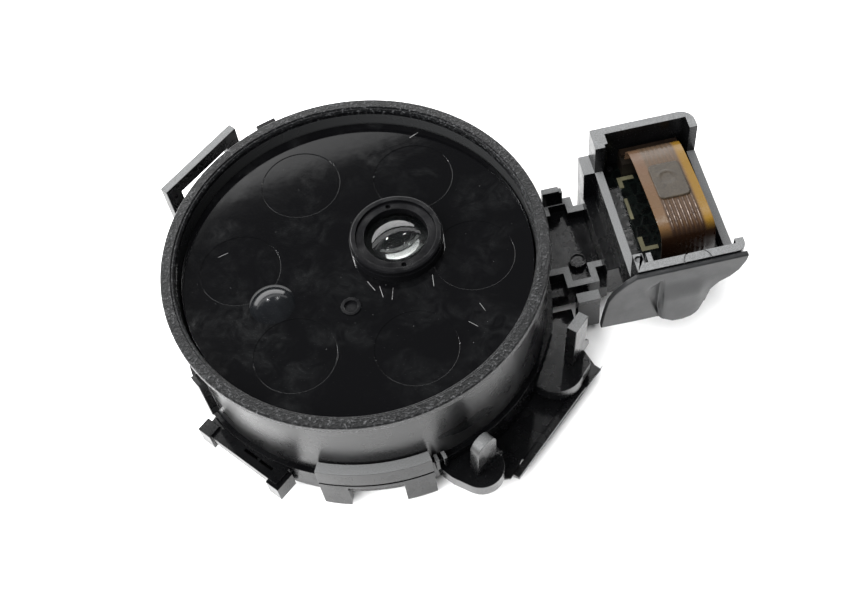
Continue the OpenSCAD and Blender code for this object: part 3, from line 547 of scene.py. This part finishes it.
def flex_material():
    """Amber film over copper: dull conductors with a painted highlight on their crests near the bend, a
    golden right edge, and painted shade on the fall at the front.
    """
    n = Nodes("flex_amber_copper")
    x, y = n.axis(0), n.axis(1)
    wave = n.math("COSINE", n.math("MULTIPLY", n.math("SUBTRACT", x, TRACE_FIRST * MM),
                                   2 * math.pi / (TRACE_PITCH * MM)))
    inside = n.math("MULTIPLY", n.ramp(x, (TRACE_FIRST - 0.6) * MM, (TRACE_FIRST - 0.3) * MM),
                    n.ramp(x, (TRACE_LAST + 0.6) * MM, (TRACE_LAST + 0.3) * MM))
    cloud = n.noise(2.6, detail=4)
    front = n.ramp(y, 6 * MM, -6 * MM)
    film = n.mix(front, (0.06, 0.036, 0.022), (0.055, 0.03, 0.0115))
    film = n.mix(n.ramp(cloud, 0.45, 0.75, 0, 0.5), film, (0.06, 0.028, 0.012))
    film = n.mix(n.ramp(x, 58.0 * MM, 58.9 * MM), film, (0.1, 0.055, 0.007))
    under = n.mix(front, (0.042, 0.029, 0.019), (0.015, 0.0085, 0.006))
    film = n.mix(n.math("MULTIPLY", inside, n.ramp(wave, -0.9, -0.2, 0.55, 0.9)), film, under)
    # Painted highlight: pale streaks on the conductor ridges near the bend, where their crests catch the
    # lamp.
    crest = n.math("MULTIPLY", n.ramp(wave, 0.72, 0.97), inside)
    bend = n.math("MULTIPLY", n.ramp(y, -1.5 * MM, -4 * MM), n.ramp(y, -8.4 * MM, -6 * MM))
    crest = n.math("MULTIPLY", crest, bend)
    crest_painted_highlight = n.math("MULTIPLY", crest, n.ramp(n.noise(0.7, detail=2), 0.35, 0.65))
    film = n.mix(crest_painted_highlight, film, (0.2, 0.155, 0.125))
    # Painted shade: the fall at the front faces down into shadow and is painted near-black.
    fall_painted_shade = n.ramp(y, -7.4 * MM, -9.2 * MM)
    n.join(n.mix(fall_painted_shade, film, (0.006, 0.0028, 0.0015)), n.shader.inputs["Base Color"])
    n.value("Specular IOR Level", 0.3)
    n.join(n.ramp(cloud, 0.3, 0.7, 0.2, 0.34), n.shader.inputs["Roughness"])
    n.join(n.bump(n.noise(1.5, detail=3), 0.02, 0.4), n.shader.inputs["Normal"])
    return n.material


def stiffener_material():
    """Grey-brown pad: rubbed lengthways, with pale dull scuffs."""
    n = Nodes("stiffener_grey_brown")
    rub = n.noise(0.9, detail=5, rough=0.65, distortion=1.6)
    scuff = n.ramp(n.noise(0.5, detail=4, distortion=2.0), 0.6, 0.72)
    tone = n.mix(n.ramp(rub, 0.3, 0.7), (0.012, 0.009, 0.0062), (0.032, 0.0255, 0.0175))
    n.join(n.mix(n.math("MULTIPLY", scuff, 0.4), tone, (0.085, 0.075, 0.056)), n.shader.inputs["Base Color"])
    n.join(n.ramp(rub, 0.3, 0.7, 0.3, 0.5), n.shader.inputs["Roughness"])
    n.join(n.bump(rub, 0.04, 0.5), n.shader.inputs["Normal"])
    return n.material


PAD_PLACE = Vector((52.6, -1.9, 26.26))
PAD_TILT = math.radians(-6.4)
PAD_SIZE = (5.5, 8)
PAD_CORNER = 0.9
PAD_THICK = 0.26
PAD_CELL = 0.25
MARK_CENTRE = (2.6, 4.6)
MARK_R = 1.4


def rounded_outline(size, corner, inset, steps=8):
    """Points round a rounded rectangle whose lower left corner is at the origin."""
    r = corner - inset
    centres = [(size[0] - corner, size[1] - corner), (corner, size[1] - corner),
               (corner, corner), (size[0] - corner, corner)]
    points = []
    for quarter, (cx, cy) in enumerate(centres):
        for k in range(steps + 1):
            turn = math.pi / 2 * (quarter + k / steps)
            points.append((cx + r * math.cos(turn), cy + r * math.sin(turn)))
    return points


def cut_grid(bm, axes, low, high, counts):
    """Cut a mesh by evenly spaced planes across the given axes, so that it can be sculpted."""
    for axis in axes:
        normal = Vector((0, 0, 0))
        normal[axis] = 1
        for k in range(1, counts[axis]):
            at = Vector((0, 0, 0))
            at[axis] = low[axis] + (high[axis] - low[axis]) * k / counts[axis]
            bmesh.ops.bisect_plane(bm, geom=bm.verts[:] + bm.edges[:] + bm.faces[:],
                                   plane_co=at, plane_no=normal)


def make_stiffener():
    """Rounded pad with a shallow thumb mark and a raised crescent on top."""
    bm = bmesh.new()
    layers = [(0.0, 0.0), (0.0, PAD_THICK - 0.14), (0.05, PAD_THICK - 0.04), (0.16, PAD_THICK)]
    rows = []
    for inset, z in layers:
        rows.append([bm.verts.new((x, y, z)) for x, y in rounded_outline(PAD_SIZE, PAD_CORNER, inset)])
    count = len(rows[0])
    for one, two in zip(rows, rows[1:]):
        for j in range(count):
            bm.faces.new((one[j], one[(j + 1) % count], two[(j + 1) % count], two[j]))
    bm.faces.new(list(reversed(rows[0])))
    bm.faces.new(rows[-1])
    cut_grid(bm, (0, 1), (0, 0), PAD_SIZE, [int(length / PAD_CELL) for length in PAD_SIZE])
    for v in bm.verts:
        if v.co.z > PAD_THICK - 1e-4:
            dx, dy = v.co.x - MARK_CENTRE[0], v.co.y - MARK_CENTRE[1]
            d = math.hypot(dx, dy)
            dish = -0.08 * math.exp(-(d / 1.3) ** 4)
            crescent = 0.12 * math.exp(-((d - MARK_R) / 0.16) ** 2) * max(0.0, min(1.0, 0.5 + dy / 1.2))
            v.co.z += dish + crescent
    matrix = Matrix.Translation(PAD_PLACE) @ Matrix.Rotation(PAD_TILT, 4, "X")
    for v in bm.verts:
        v.co = (matrix @ v.co) * MM
    mesh = bpy.data.meshes.new("flex_stiffener_pad")
    bm.to_mesh(mesh)
    bm.free()
    shade(mesh, 50)
    mesh.materials.append(stiffener_material())
    place(bpy.data.objects.new("flex_stiffener_pad", mesh), "flex_stiffener")


# ---------------------------------------------------------------- sculpted front cover

# Y in mm of the cover's back and flat front face, and the size of its sculpting grid
COVER_BACK = -15.0
COVER_FRONT = -15.8
COVER_CELL = 0.3


def step(value, low, high):
    """Smooth rise from 0 at low to 1 at high; low may be the larger one."""
    t = max(0.0, min(1.0, (value - low) / (high - low)))
    return t * t * (3 - 2 * t)


def cover_height(x, z):
    """How far the cover's face stands out, in mm: a rounded swelling and a hollow on its left."""
    swell = 0.8 * step(x, 49.0, 49.6) * step(x, 58.2, 55.4) * step(z, 22.6, 17.5)
    swell *= 1 - 0.35 * step(abs(x - 52.6), 2.0, 5.0)
    along = (x - 46.2) / (49.0 - 46.2)
    if not 0 < along < 1.15:
        return swell
    floor_z = 21 - 8 * along
    ceiling_z = 21 + 2 * along
    hollow = step(z, floor_z - 0.8, floor_z + 0.6) * step(z, ceiling_z + 0.5, ceiling_z - 0.4)
    return swell - 0.78 * hollow * min(1.0, along) ** 1.2 * step(x, 49.35, 49.05)


def make_front_cover():
    mesh = bpy.data.meshes.new("box_front_cover_sculpted")
    bm = bmesh.new()
    bm.from_mesh(frame["nodes"]["box_front_cover"].data)
    for v in bm.verts:
        v.co.y = max(v.co.y, COVER_FRONT * MM)
    bmesh.ops.remove_doubles(bm, verts=bm.verts, dist=0.003 * MM)
    bmesh.ops.dissolve_limit(bm, angle_limit=math.radians(0.5), verts=bm.verts, edges=bm.edges)
    rim = [e for e in bm.edges if len(e.link_faces) == 2 and e.calc_face_angle(0) > math.radians(60)]
    bmesh.ops.bevel(bm, geom=rim, offset=0.22 * MM, segments=3, profile=0.6, affect="EDGES",
                    clamp_overlap=True, offset_type="OFFSET")
    low = Vector([min(v.co[i] for v in bm.verts) for i in range(3)])
    high = Vector([max(v.co[i] for v in bm.verts) for i in range(3)])
    cut_grid(bm, (0, 2), low, high, [int((high[i] - low[i]) / (COVER_CELL * MM)) for i in range(3)])
    for v in bm.verts:
        share = step(v.co.y / MM, COVER_BACK, COVER_FRONT)
        v.co.y -= share * cover_height(v.co.x / MM, v.co.z / MM) * MM
    bm.to_mesh(mesh)
    bm.free()
    shade(mesh, 60)
    mesh.materials.clear()
    mesh.materials.append(MATERIALS[slot_of("box_front_cover")])
    place(bpy.data.objects.new("box_front_cover_sculpted", mesh), "box_front_cover")


def make_flex():
    material = flex_material()
    arch = sweep(smooth_route(FLEX_ARCH), ribbed_profile(FLEX_LEFT, FLEX_RIGHT, sign=-1),
                 lambda across, y, z: (across, y, z))
    run = sweep(smooth_route(FLEX_RUN), ribbed_profile(*FLEX_RUN_Y, ridges=False),
                lambda across, x, z: (x, across, z))
    mesh = bpy.data.meshes.new("flex_cable_ribbon")
    part = bpy.data.meshes.new("flex_run_part")
    run.to_mesh(part)
    arch.from_mesh(part)
    arch.to_mesh(mesh)
    arch.free()
    run.free()
    bpy.data.meshes.remove(part)
    shade(mesh, 50)
    mesh.materials.append(material)
    place(bpy.data.objects.new("flex_cable_ribbon", mesh), "flex_cable")


# ---------------------------------------------------------------- build

def make_floor():
    mesh = bpy.data.meshes.new("floor")
    reach = 1.6
    corners = [(-reach, -reach, 0), (reach, -reach, 0), (reach, reach, 0), (-reach, reach, 0)]
    mesh.from_pydata(corners, [], [(0, 1, 2, 3)])
    n = Nodes("floor_pale")
    n.join(n.mix(n.noise(60, detail=2), (0.86, 0.86, 0.86), (0.9, 0.9, 0.9)), n.shader.inputs["Base Color"])
    n.value("Roughness", 0.9)
    n.value("Specular IOR Level", 0.1)
    mesh.materials.append(n.material)
    floor = bpy.data.objects.new("floor", mesh)
    scene.collection.objects.link(floor)


make_camera()
make_studio()
make_floor()
finish_cad_nodes()
make_front_cover()
make_flex()
make_stiffener()
